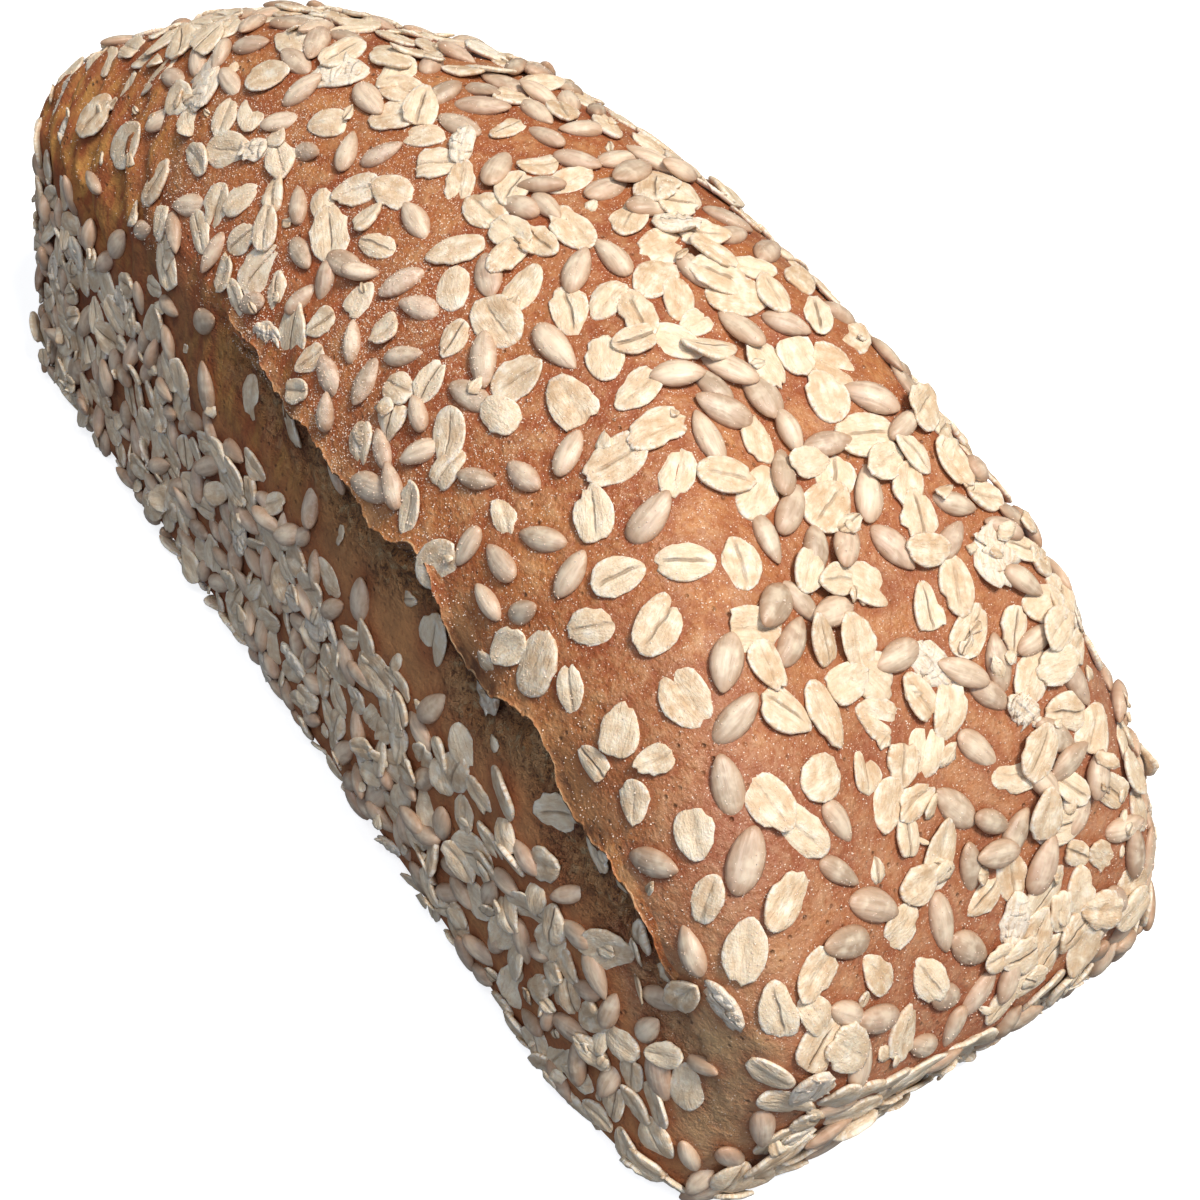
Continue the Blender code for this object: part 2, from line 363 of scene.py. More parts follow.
def fine_crust():
    """The loaf's surface at about 1 mm, and per-vertex values for its material."""
    bm = bmesh.new()
    bmesh.ops.create_cube(bm, size=2.0)
    for axis, cells in enumerate(FINE_CELLS):
        edges = [edge for edge in bm.edges
                 if abs((edge.verts[0].co - edge.verts[1].co)[axis]) > 1e-4]
        bmesh.ops.subdivide_edges(bm, edges=edges, cuts=cells - 1, use_grid_fill=True)
    torn, fold = [], []
    for vert in bm.verts:
        a, b, c = vert.co
        a = 0.45 * a + 0.55 * math.sin(a * math.pi / 2)
        b = 0.45 * b + 0.55 * math.sin(b * math.pi / 2)
        c = -1.0 + 2.0 * ((c + 1.0) / 2.0) ** FOOT_CROWDING
        point = loaf_point(a, b, c)
        lift = min(1.0, point.z / 0.010)
        wrinkle = WRINKLE * noise.noise(point / WRINKLE_PITCH)
        wrinkle += GRAIN * noise.noise(point / GRAIN_PITCH)
        shift, tornness = torn_profile(point)
        place, depth = folds(point)
        point = point + outward_at(point) * (wrinkle + shift + depth) * lift
        point.z = max(point.z, UNDERSIDE_LIFT)
        vert.co = point
        torn.append(tornness)
        fold.append(place)
    bmesh.ops.recalc_face_normals(bm, faces=bm.faces)
    return bm, torn, fold


def link(name, data):
    """Object of a mesh, light or camera in the scene."""
    obj = bpy.data.objects.new(name, data)
    bpy.context.scene.collection.objects.link(obj)
    return obj


def smooth_mesh(name, points, faces):
    """Smooth mesh with its normals turned outward."""
    mesh = bpy.data.meshes.new(name)
    mesh.from_pydata(points, [], faces)
    bm = bmesh.new()
    bm.from_mesh(mesh)
    bmesh.ops.recalc_face_normals(bm, faces=bm.faces)
    bm.to_mesh(mesh)
    bm.free()
    mesh.shade_smooth()
    return mesh


def write_values(mesh, values, kind="FLOAT", field="value"):
    """Give a mesh's points the named values that its material reads."""
    for key, data in values.items():
        layer = mesh.attributes.new(key, kind, "POINT")
        layer.data.foreach_set(field, np.array(data, dtype=np.float32).ravel())


def baked(co):
    """1 on the browned top of the crust, 0 on its darker sides that rose in the tin."""
    x, y = in_plan(co)
    level = tear_level(co.x) - 0.003 if y < 0 else 0.026
    near_end = max(ramp(x, 0.92, 0.98), ramp(x, 0.66, 0.84) * ramp(y, -0.97, -0.82))
    level += (-0.006 - level) * near_end
    spread = 0.004 * noise.noise(co * 120.0)
    return linear(co.z + spread, level, level + 0.009)


def torn_lip(tree):
    """Thin ragged edge of crust that stands out over the torn strip."""
    points, faces, edge, bake, dust = [], [], [], [], []
    columns = int((LIP_END - LIP_START) / LIP_STEP)
    for column in range(columns + 1):
        x = LIP_START + column * LIP_STEP
        share = torn_share(x)
        line = torn_line(x)
        aim = Vector((0.0, 1.0, 0.0))
        low, normal, _, _ = tree.ray_cast(Vector((x, -0.12, line + 0.0034)), aim)
        high = tree.ray_cast(Vector((x, -0.12, line + 0.0056)), aim)[0]
        down = (low - high).normalized()
        bite = 0.0010 * wobble(x, 900.0, 5.2)
        bite += 0.0011 * min(0.0, wobble(x, 420.0, 2.2, 7.0) + 0.1)
        curl = 1.0 + 0.8 * wobble(x, 300.0, 8.8, 2.0)
        for reach, height in LIP_SECTION:
            tip = reach == 1.0
            along = (LIP_REACH + bite if tip else reach) * (0.35 + 0.65 * share)
            raised = height * curl * share if height > 0.0 else height
            spot = low + down * along + normal * raised
            points.append(spot)
            edge.append(max(0.0, 0.40 + 1.5 * noise.noise(spot * 260.0)) if tip else 0.0)
            bake.append(baked(low))
            dust.append(dusting(low))
    rows = len(LIP_SECTION)
    for column in range(columns):
        for row in range(rows):
            after = (row + 1) % rows
            first, second = column * rows, (column + 1) * rows
            faces.append((first + row, second + row, second + after, first + after))
    faces.append(tuple(range(rows)))
    faces.append(tuple(columns * rows + row for row in reversed(range(rows))))
    mesh = smooth_mesh("torn_lip", points, faces)
    write_values(mesh, {"edge": edge, "bake": bake, "dust": dust})
    return link("torn_lip", mesh)


# Toppings

class Topping:
    """One flake, kernel or fragment: where it lies and how large it is."""

    def __init__(self, point, normal, along, kind, turn, length, width):
        side = normal.cross(along).normalized()
        forward = side.cross(normal).normalized()
        self.point = point
        self.normal = normal
        self.forward = forward * math.cos(turn) + side * math.sin(turn)
        self.side = normal.cross(self.forward)
        self.kind = kind
        self.length = length
        self.width = width
        self.base = self.lean_u = self.lean_v = 0.0

    def place_of(self, spot):
        """Place of a spot along and across this piece, its rim at 1."""
        offset = spot - self.point
        return (offset.dot(self.forward) / (self.length / 2),
                offset.dot(self.side) / (self.width / 2))

    def top_at(self, spot):
        """Height of this piece's top at a spot, or 0 where it isn't."""
        u, v = self.place_of(spot)
        if u * u + v * v > 0.9:
            return 0.0
        thick = FLAKE_THICKNESS if self.kind == "flake" else KERNEL_THICKNESS * 0.62
        return self.base + thick * (1.0 - 0.3 * (u * u + v * v))

    def settle(self, others):
        """Rest on the pieces below: raise it and lean it to suit them."""
        def height(du, dv):
            spot = self.point + self.forward * du * self.length + self.side * dv * self.width
            return max([other.top_at(spot) for other in others], default=0.0)
        middle = height(0, 0)
        front, back = height(0.36, 0), height(-0.36, 0)
        left, right = height(0, 0.36), height(0, -0.36)
        self.base = max(middle * 0.8, (front + back) / 2, (left + right) / 2)
        self.lean_u = (front - back) / (0.85 * self.length)
        self.lean_v = (left - right) / (0.85 * self.width)


def dusting(point):
    """Share of flour that lies at a point of the top."""
    x, y = in_plan(point)
    patches = 0.55 + 1.1 * noise.noise(point * 65.0 + Vector((3.3, 0.0, 1.0)))
    return hump(x, -0.12, 0.42) * hump(y, -0.66, 0.32) * linear(patches, 0.0, 1.0)


def crust_dust(point):
    """Share of the finest flour on the crust, which lies wider than the grains."""
    x, y = in_plan(point)
    wide = hump(x, -0.15, 0.60) * hump(y, -0.40, 0.45)
    patches = 0.60 + 0.9 * noise.noise(point * 80.0 + Vector((1.0, 5.5, 0.0)))
    return min(1.0, dusting(point) + 0.60 * wide * max(0.0, patches))


def bare_strip(point):
    """1 on the strip under the torn line, which carries few toppings."""
    if point.y > -0.3 * WIDTH:
        return 0.0
    below = tear_level(point.x) - 0.0080 - point.z
    return hump(point.x, 0.022, 0.066, 4) * hump(below, 0.0, 0.0105, 4)


def painted_sheen(point):
    """How much painted sheen makes the crust pale and pink towards the lit right and the near end.
    """
    x, y = in_plan(point)
    return min(0.8, 0.45 * ramp(y, 0.25, 0.75) + 0.60 * ramp(x, 0.50, 0.95))


def warmth(point):
    """1 on the lighter near half of the -Y wall."""
    x, y = in_plan(point)
    return ramp(x, -0.30, 0.30) * ramp(-y, 0.70, 0.90)


def red_hollow(point):
    """1 on the redder crust of the hollow on the -Y shoulder, 0 away from it."""
    x, y = in_plan(point)
    return hump(x, -0.20, 0.24, 4) * hump(y, -0.84, 0.14) * ramp(point.z, 0.058, 0.066)


def open_crust(point):
    """1 on the left of the near half's top, where the crust shows most."""
    x, y = in_plan(point)
    spread = hump(x, 0.62, 0.38, 4) * hump(y, -0.66, 0.40, 4)
    return spread * linear(point.z - tear_level(point.x), -0.002, 0.004)


def fine_pitch(point, rng):
    """Least distance between toppings at a point of the crust."""
    x, y = in_plan(point)
    pitch = USUAL_PITCH + 0.0008 * bareness(point) + 0.0018 * open_crust(point)
    pitch += 0.0140 * bare_strip(point)
    near_corner = hump(x, 0.965, 0.045) * hump(y, -0.85, 0.09)
    far_corner = hump(x, -0.72, 0.22, 4) * hump(y, -0.88, 0.15, 4)
    pitch += 0.0050 * near_corner * ramp(point.z, 0.010, 0.020)
    pitch += 0.0085 * far_corner * ramp(point.z, 0.048, 0.056)
    level = tear_level(point.x)
    if y < -0.5:
        pitch += 0.0060 * torn_share(point.x) * hump(point.z, level, 0.0035)
    if y < -0.80 and point.z < level - 0.008:
        pitch -= 0.0010
    elif x > 0.72:
        pitch += 0.0003 - 0.0014 * ramp(0.045 - point.z, 0.0, 0.025)
    elif y > 0.20 and x > -0.30:
        pitch += 0.0007
    clump = noise.noise(point / 0.015 + Vector((4.1, 0.3, 9.2)))
    return pitch * (1.0 - 0.42 * clump) * rng.uniform(0.72, 1.12)


def first_toppings(rng):
    """The toppings that are part of the solid, drawn in the same order."""
    toppings = []
    for point, normal, along, kind, turn in scatter(rng, TOPPING_COUNT):
        length = rng.uniform(*FIRST_LENGTH[kind])
        width = length * rng.uniform(*FIRST_RATIO[kind])
        if kind == "flake":
            rng.random()  # keeps the draws in step with the model's source
        toppings.append(Topping(point, normal, along, kind, turn, length, width))
    return toppings


class Neighbours:
    """Toppings in cells of space, to find those near a point."""

    def __init__(self, cell):
        self.cell = cell
        self.cells = {}

    def key(self, point):
        return tuple(math.floor(value / self.cell) for value in point)

    def add(self, item):
        self.cells.setdefault(self.key(item.point), []).append(item)

    def near(self, point):
        around = product(*((index - 1, index, index + 1) for index in self.key(point)))
        return [item for cell in around for item in self.cells.get(cell, [])]


def all_toppings():
    """Every flake and kernel: the solid's own, then finer ones between and over them."""
    rng = random.Random(SEED)
    toppings = first_toppings(rng)
    grid = Neighbours(NEIGHBOUR_CELL)
    for item in toppings:
        grid.add(item)
    for _ in range(MORE_TRIES):
        a, b, c = random_spot(rng)
        point = loaf_point(a, b, c)
        near = grid.near(point)
        pitch = fine_pitch(point, rng)
        if point.z < 0.0012 or any((point - other.point).length < pitch for other in near):
            continue
        point, normal, along = surface_frame(a, b, c)
        on_side = normal.y < SIDE_FACING
        share = MORE_KERNEL_SHARE - (0.0 if on_side else 0.12 * bareness(point))
        kind = "kernel" if rng.random() < share else "flake"
        turn = rng.uniform(0.0, math.pi * 2)
        length = rng.uniform(*MORE_LENGTH[kind]) * (SIDE_SCALE if on_side else 1.0)
        width = length * rng.uniform(*MORE_RATIO[kind])
        item = Topping(point, normal, along, kind, turn, length, width)
        item.settle(near)
        if item.base > MOST_STACK:
            continue
        toppings.append(item)
        grid.add(item)
    return toppings, grid, rng


def fragments(grid, rng):
    """Broken bits of flake, in the gaps and on top of the whole ones."""
    pieces = []
    while len(pieces) < FRAGMENT_COUNT:
        a, b, c = random_spot(rng)
        point = loaf_point(a, b, c)
        bare = 0.75 * bareness(point) + bare_corner(point) + 0.7 * bare_strip(point)
        if point.z < 0.002 or rng.random() < bare:
            continue
        point, normal, along = surface_frame(a, b, c)
        length = rng.uniform(*FRAGMENT_LENGTH)
        item = Topping(point, normal, along, "fragment", rng.uniform(0.0, math.pi), length,
                       length * rng.uniform(0.45, 0.85))
        item.settle(grid.near(point))
        if item.base > MOST_STACK:
            continue
        item.lean_u += rng.gauss(0.0, 0.15)
        item.lean_v += rng.gauss(0.0, 0.15)
        pieces.append(item)
    return pieces


def outline(rng, segments, raggedness, chopped):
    """Places round an oat flake's rim, from -1 to 1: narrower at one end and nicked."""
    phase, waves = rng.uniform(0, 6.28), rng.uniform(0.015, 0.060)
    narrow, blunt = rng.uniform(0.06, 0.40), rng.uniform(-0.04, 0.14)
    nicks = {rng.randrange(segments): rng.uniform(0.04, 0.15) * (1 + 4 * raggedness)
             for _ in range(rng.choice((0, 1, 1, 2, 3, 4)))}
    rim = []
    for index in range(segments):
        angle = 2 * math.pi * index / segments
        radius = 1.0 + waves * math.sin(2 * angle + phase) + 0.02 * math.sin(3 * angle - phase)
        frayed = raggedness * (0.6 + 1.6 * max(0.0, math.cos(angle + phase)))
        radius += rng.gauss(0.0, frayed) - nicks.get(index, 0.0)
        u, v = radius * math.cos(angle), radius * math.sin(angle)
        v *= 1.0 - narrow * max(0.0, u) ** 1.5 + blunt * max(0.0, -u)
        if chopped and u < -0.60:
            u = -0.60 - 0.25 * (abs(u) - 0.60) + rng.gauss(0.0, 0.035)
        rim.append((u, v))
    return rim


def band(low, high, segments):
    """Faces between two rings of points."""
    faces = []
    for index in range(segments):
        turn = (index + 1) % segments
        faces.append((low + index, high + index, high + turn, low + turn))
    return faces


def plate(item, rng, segments, rings, ragged):
    """Plate of a flake: local points, places on it from -1 to 1, and its faces."""
    whole = item.kind == "flake"
    rim = outline(rng, segments, ragged, rng.random() < (0.18 if whole else 0.5))
    crease = rng.uniform(0.0, 0.00034) if whole and rng.random() < 0.72 else 0.0
    lobes = rng.uniform(0.0, 0.00022) if whole else 0.0
    thick = FLAKE_THICKNESS * rng.uniform(0.75, 1.20) * (1.0 if whole else 0.6)
    cup = rng.gauss(0.0, 0.00030) if whole else rng.gauss(0.0, 0.00010)
    twist = rng.gauss(0.0, 0.00022)
    book = rng.uniform(-0.00026, 0.00040) if whole else 0.0
    wave_turn, wave = rng.uniform(0, 6.28), rng.uniform(0.00004, 0.00014)
    pleat, pleats = rng.uniform(0.0, 0.00009), rng.uniform(5.0, 9.0)
    bend = rng.uniform(-0.10, 0.10)

    def shaped(u, v):
        height = cup * u * u + twist * u * v + book * abs(v)
        height += pleat * math.sin(pleats * v + 2.0 * u * u + wave_turn)
        return height + wave * math.sin(3.0 * u + 2.3 * v + wave_turn)

    def place(u, v, height):
        side = v + bend * (u * u - 0.3)
        return Vector((u * item.length / 2, side * item.width / 2, height + shaped(u, v)))

    def height_at(v, ring):
        height = thick * (1.0 - 0.36 * ring ** 6)
        height += lobes * hump(abs(v), 0.45, 0.28) * (1.0 - ring ** 4)
        return height - crease * hump(v, 0.0, 0.11) * (1.0 - 0.5 * ring ** 4)

    points, local = [place(0, 0, thick - crease)], [(0.0, 0.0)]
    for ring in rings:
        spots = [(u * ring, v * ring) for u, v in rim]
        points += [place(u, v, height_at(v, ring)) for u, v in spots]
        local += spots
    for scale, depth in ((1.0, 0.10), (0.88, -0.35)):
        spots = [(u * scale, v * scale) for u, v in rim]
        points += [place(u, v, depth * thick) for u, v in spots]
        local += spots
    faces = [(0, 1 + index, 1 + (index + 1) % segments) for index in range(segments)]
    for level in range(len(rings) + 1):
        faces += band(1 + level * segments, 1 + (level + 1) * segments, segments)
    last = 1 + (len(rings) + 1) * segments
    faces.append(tuple(last + index for index in reversed(range(segments))))
    return points, local, faces


def crushed(item, rng):
    """Floury flake that frayed into ragged slivers lying side by side in its oval."""
    points, local, faces = plate(item, rng, 22, (0.40, 0.80, 1.0), 0.035)
    count = rng.choice((5, 6, 7, 8))
    for index in range(count):
        along = -0.82 + 1.64 * (index + rng.uniform(0.2, 0.8)) / count
        half = math.sqrt(1.0 - along * along)
        length = item.width * half * rng.uniform(0.65, 1.10)
        width = item.length / count * rng.uniform(0.9, 1.5)
        sliver = Topping(item.point, item.normal, item.forward, "fragment", 0.0, length, width)
        piece, _, piece_faces = plate(sliver, rng, 12, (0.55, 1.0), 0.075)
        turn = Matrix.Rotation(math.pi / 2 + rng.gauss(0.0, 0.30), 3, "Z")
        turn = turn @ Matrix.Rotation(rng.gauss(0.0, 0.20), 3, "X")
        rise = FLAKE_THICKNESS * rng.uniform(0.40, 0.85)
        shift = Vector((along * item.length / 2, rng.gauss(0.0, 0.05) * item.width, rise))
        start = len(points)
        for spot in piece:
            moved = turn @ spot + shift
            points.append(moved)
            local.append((moved.x * 2 / item.length, moved.y * 2 / item.width))
        faces += [tuple(start + corner for corner in face) for face in piece_faces]
    return points, local, faces


def drop(item, rng, segments, rows):
    """Sunflower kernel: rows of rings from its round end to its point."""
    points, local = [], []
    bend, plump = rng.uniform(-0.10, 0.10), rng.uniform(0.82, 1.12)
    swell, ridge_at = rng.uniform(0.72, 0.96), rng.uniform(-0.4, 0.4)
    fullness = rng.uniform(0.54, 0.70)
    for row in range(1, rows):
        share = 0.5 - 0.5 * math.cos(math.pi * row / rows)
        along = 2.0 * share - 1.0
        radius = math.sin(math.pi * share ** swell) ** fullness
        for index in range(segments):
            angle = 2 * math.pi * index / segments
            v, h = math.cos(angle), math.sin(angle)
            keel = 1.0 + 0.10 * hump(v, ridge_at, 0.22) * (h > 0)
            x = along * item.length / 2
            y = (v * radius + bend * along * along) * item.width / 2
            z = h * radius * keel * plump * KERNEL_THICKNESS / 2
            points.append(Vector((x, y, z + KERNEL_THICKNESS * 0.14)))
            local.append((along, v * radius))
    first, last = len(points), len(points) + 1
    for along in (-1.0, 1.0):
        y = bend * item.width / 2
        points.append(Vector((along * item.length / 2, y, KERNEL_THICKNESS * 0.14)))
        local.append((along, 0.0))
    faces = []
    for row in range(rows - 2):
        faces += band(row * segments, (row + 1) * segments, segments)
    high = (rows - 2) * segments
    for index in range(segments):
        turn = (index + 1) % segments
        faces.append((first, index, turn))
        faces.append((last, high + turn, high + index))
    return points, local, faces


def joined(name, items, rng, shape):
    """One mesh of all pieces of a kind, with their tones and their places in millimetres."""
    points, faces, places, tones = [], [], [], []
    for item in items:
        piece, local, piece_faces = shape(item, rng)
        tone = (rng.random(), rng.random(), rng.random(), dusting(item.point))
        start = len(points)
        up = (item.normal - item.forward * item.lean_u - item.side * item.lean_v).normalized()
        side = up.cross(item.forward).normalized()
        forward = side.cross(up)
        for spot in piece:
            world = item.point + forward * spot.x + side * spot.y + up * spot.z
            world += item.normal * item.base
            world.z = max(world.z, 0.0001)
            points.append(world)
        faces += [tuple(start + corner for corner in face) for face in piece_faces]
        half_length, half_width = (1000 * size / 2 for size in (item.length, item.width))
        places += [(u * half_length, v * half_width, math.hypot(u, v)) for u, v in local]
        tones += [tone] * len(piece)
    mesh = smooth_mesh(name, points, faces)
    write_values(mesh, {"place": places}, "FLOAT_VECTOR", "vector")
    write_values(mesh, {"tone": tones}, "FLOAT_COLOR", "color")
    return link(name, mesh)


def flake_shape(item, rng):
    return plate(item, rng, 22, (0.32, 0.60, 0.82, 0.94, 1.0), 0.020)


def fragment_shape(item, rng):
    return plate(item, rng, 9, (0.6, 1.0), 0.085)


def kernel_shape(item, rng):
    return drop(item, rng, 12, 10)


def flour_grains(trees, rng):
    """Fine pale grains on the top of the loaf, each an eight-sided speck."""
    points, faces = [], []
    placed = 0
    while placed < GRAIN_COUNT:
        a, b = rng.uniform(-0.96, 0.96), rng.uniform(-1.0, 0.95)
        point = loaf_point(a, b, 1.0)
        if rng.random() > 0.10 + dusting(point):
            continue
        outward = outward_at(point)
        hits = [tree.ray_cast(point + outward * 0.02, -outward) for tree in trees]
        hits = [hit for hit in hits if hit[0] is not None]
        if not hits:
            continue
        hit, normal = min(hits, key=lambda found: found[3])[:2]
        if normal.dot(outward) < 0.2:
            continue
        radius = rng.uniform(*GRAIN_RADIUS) * rng.uniform(0.6, 1.0)
        turn = Matrix.Rotation(rng.uniform(0, 3.14), 3, (rng.random(), rng.random(), 1.0))
        start = len(points)
        for corner in ((1, 0, 0), (0, 1, 0), (-1, 0, 0), (0, -1, 0), (0, 0, 1), (0, 0, -1)):
            reach = radius * rng.uniform(0.7, 1.3)
            points.append(hit + normal * radius * 0.4 + turn @ Vector(corner) * reach)
        for index in range(4):
            turned = (index + 1) % 4
            faces.append((start + index, start + turned, start + 4))
            faces.append((start + turned, start + index, start + 5))
        placed += 1
    mesh = bpy.data.meshes.new("flour_grains")
    mesh.from_pydata(points, [], faces)
    return link("flour_grains", mesh)


def painted_contact_shade(coords, items):
    """For each crust vertex, the painted contact shade round the toppings: 1 against a topping's
    rim and falling to 0 a few mm away.
    """
    tree = KDTree(len(items))
    for index, item in enumerate(items):
        tree.insert(item.point, index)
    tree.balance()
    values = []
    for co in coords:
        gap = 1.0
        for _, index, _ in tree.find_n(co, 5):
            item = items[index]
            reach = math.hypot(*item.place_of(co))
            gap = min(gap, (reach - 1.0) * (item.length + item.width) / 4)
        values.append(math.exp(-max(0.0, gap) / 0.0016))
    return values


# Materials

class Shader:
    """A material's node tree, with short calls for the nodes used here."""

    def __init__(self, name):
        self.material = bpy.data.materials.new(name)
        self.material.use_nodes = True
        self.tree = self.material.node_tree
        self.surface = self.tree.nodes["Principled BSDF"]

    def put(self, socket, value):
        if isinstance(value, bpy.types.NodeSocket):
            self.tree.links.new(value, socket)
        elif isinstance(value, tuple) and len(value) == 3 and socket.type == "RGBA":
            socket.default_value = (*value, 1.0)
        else:
            socket.default_value = value

    def node(self, kind, inputs=(), **settings):
        made = self.tree.nodes.new(kind)
        for key, value in settings.items():
            setattr(made, key, value)
        for key, value in dict(inputs).items():
            self.put(made.inputs[key], value)
        return made

    def attribute(self, name):
        return self.node("ShaderNodeAttribute", attribute_name=name)

    def object_place(self):
        return self.node("ShaderNodeTexCoord").outputs["Object"]

    def math(self, operation, a, b=0.0):
        return self.node("ShaderNodeMath", {0: a, 1: b}, operation=operation).outputs[0]

    def times(self, product, *others):
        for other in others:
            product = self.math("MULTIPLY", product, other)
        return product

    def span(self, value, low, high, to_low=0.0, to_high=1.0):
        inputs = {"Value": value, "From Min": low, "From Max": high,
                  "To Min": to_low, "To Max": to_high}
        return self.node("ShaderNodeMapRange", inputs, clamp=True).outputs[0]

    def noise(self, vector, scale, detail=3.0, rough=0.55, warp=0.0):
        inputs = {"Vector": vector, "Scale": scale, "Detail": detail, "Roughness": rough,
                  "Distortion": warp}
        return self.node("ShaderNodeTexNoise", inputs).outputs[0]

    def cells(self, vector, scale):
        return self.node("ShaderNodeTexVoronoi", {"Vector": vector, "Scale": scale})

    def mix(self, factor, a, b):
        made = self.node("ShaderNodeMix", data_type="RGBA")
        for index, value in ((0, factor), (6, a), (7, b)):
            self.put(made.inputs[index], value)
        return made.outputs[2]

    def coats(self, colour, *coats):
        """Colour under coats of others: each by a strength, or by a value and its range."""
        for over, strength, *limits in coats:
            if limits:
                strength = self.span(strength, *limits)
            colour = self.mix(strength, colour, over)
        return colour

    def stretch(self, vector, *scales):
        made = self.node("ShaderNodeVectorMath", {0: vector, 1: scales}, operation="MULTIPLY")
        return made.outputs[0]

    def bump(self, height, distance, strength=1.0, normal=None):
        inputs = {"Height": height, "Distance": distance, "Strength": strength}
        if normal is not None:
            inputs["Normal"] = normal
        return self.node("ShaderNodeBump", inputs).outputs[0]

    def places(self, along, across):
        """Places on a topping, its tones, its own point of noise space, and that drawn out."""
        tone = self.node("ShaderNodeSeparateColor", {"Color": self.attribute("tone").outputs[0]})
        place = self.attribute("place").outputs["Vector"]
        u, v, radius = self.node("ShaderNodeSeparateXYZ", {"Vector": place}).outputs
        own = {"X": u, "Y": v, "Z": self.times(tone.outputs[0], 90.0)}
        spot = self.node("ShaderNodeCombineXYZ", own).outputs[0]
        return tone.outputs, u, v, radius, spot, self.stretch(spot, along, across, 1.0)

    def finish(self, **inputs):
        for key, value in inputs.items():
            self.put(self.surface.inputs[key.replace("_", " ")], value)
        return self.material


ORANGE_CRUST = (0.495, 0.198, 0.056)
RED_CRUST = (0.325, 0.086, 0.022)
TAN_CRUST = (0.578, 0.318, 0.146)
PINK_SHEEN = (0.450, 0.250, 0.155)
PINK_GLINT = (0.800, 0.490, 0.330)
OLIVE_CRUST = (0.560, 0.365, 0.180)
SIDE_CRUST = (0.400, 0.172, 0.062)
WARM_SIDE = (0.640, 0.300, 0.115)
DEEP_CRUST = (0.235, 0.050, 0.014)
DARK_CRUST = (0.105, 0.046, 0.019)
TORN_CRUST = (0.780, 0.440, 0.205)
TORN_LOW = (0.660, 0.300, 0.110)
TORN_CRUMB = (0.800, 0.600, 0.330)
TORN_EDGE = (0.560, 0.370, 0.200)
GOLD_CRUST = (0.560, 0.270, 0.065)
HOLLOW_CRUST = (0.480, 0.125, 0.036)
FLOUR_SPECK = (0.880, 0.740, 0.610)

# Values at the crust's points that its material reads; near carries the painted contact shade
# round the toppings, light the painted sheen
CRUST_VALUES = ("near", "torn", "fold", "bake", "light", "edge", "dust", "olive", "hollow", "warm")

# Noises of the crust: scale, detail and roughness
CRUST_NOISES = {"patches": (42.0, 4.0, 0.6), "mottle": (260.0, 5.0, 0.65),
                "rubble": (520.0, 4.0, 0.7), "freckle": (760.0, 2.0, 0.6),
                "grain": (1400.0, 3.0, 0.6)}

# Finest specks, pink glints of painted sparkle and pale flour: cells per metre, size in a cell,
# share of clean cells left out, tint, strength
FLOUR_SPECKS_AND_GLINTS = ((3700.0, 0.36, 0.74, PINK_GLINT, 0.60), (2300.0, 0.30, 0.93, FLOUR_SPECK, 0.80))


def speckle(shader, where, scale, size, most):
    """Small round specks in cells of space; the share of cells left out is `most`."""
    cells = shader.cells(where, scale)
    pick = shader.node("ShaderNodeSeparateColor", {"Color": cells.outputs["Color"]}).outputs[0]
    dots = shader.span(cells.outputs["Distance"], size * 0.6, size, 1.0, 0.0)
    return shader.times(dots, shader.math("GREATER_THAN", pick, most))


def browned_crust(shader, at):
    """Browned top, pinker with painted sheen towards the lit right and near end, and the darker
    sides that rose in the tin.
    """
    top = shader.coats(
        RED_CRUST,
        (ORANGE_CRUST, at.patches, 0.38, 0.60),
        (TAN_CRUST, at.mottle, 0.46, 0.68, 0.0, 0.85),
        (DEEP_CRUST, at.mottle, 0.34, 0.46, 0.50, 0.0),
        (TAN_CRUST, at.freckle, 0.54, 0.66, 0.0, 0.45),
        (DEEP_CRUST, at.freckle, 0.36, 0.46, 0.35, 0.0),
        # Painted sheen: pale pink crust where the light falls, to the right and at the near end
        (PINK_SHEEN, shader.times(at.light, shader.span(at.freckle, 0.36, 0.60, 0.35, 1.0))),
        (OLIVE_CRUST, shader.times(at.olive, shader.span(at.mottle, 0.35, 0.65, 0.5, 0.9))))
    side = shader.coats(
        DARK_CRUST,
        (SIDE_CRUST, at.mottle, 0.36, 0.60),
        (WARM_SIDE, shader.times(at.warm, 0.60)))
    return shader.mix(at.bake, side, top)


def drawn_crust(shader, at):
    """Coats of stretched crust: golden streaks in the folds, redder ones in the hollow."""
    streaks = shader.noise(shader.stretch(at.where, 420.0, 120.0, 120.0), 1.0, 3.0)
    gold = shader.coats(RED_CRUST, (GOLD_CRUST, streaks, 0.38, 0.60))
    glow = shader.times(at.hollow, shader.span(streaks, 0.62, 0.44, 0.25, 0.85))
    return (gold, at.fold), (HOLLOW_CRUST, glow)


def torn_crust(shader, at):
    """Coat of the torn strip under the lip, with painted shade in its low pits and pale crumb on
    its high spots.
    """
    strip = shader.coats(
        TORN_LOW,
        (TORN_CRUST, at.mottle, 0.44, 0.56),
        (ORANGE_CRUST, at.patches, 0.46, 0.60, 0.0, 0.8),
        # Painted shade in the low pits of the strip's relief
        (DARK_CRUST, at.rubble, 0.40, 0.47, 0.80, 0.0),
        (TORN_CRUMB, at.rubble, 0.56, 0.63, 0.0, 0.75))
    return strip, at.torn


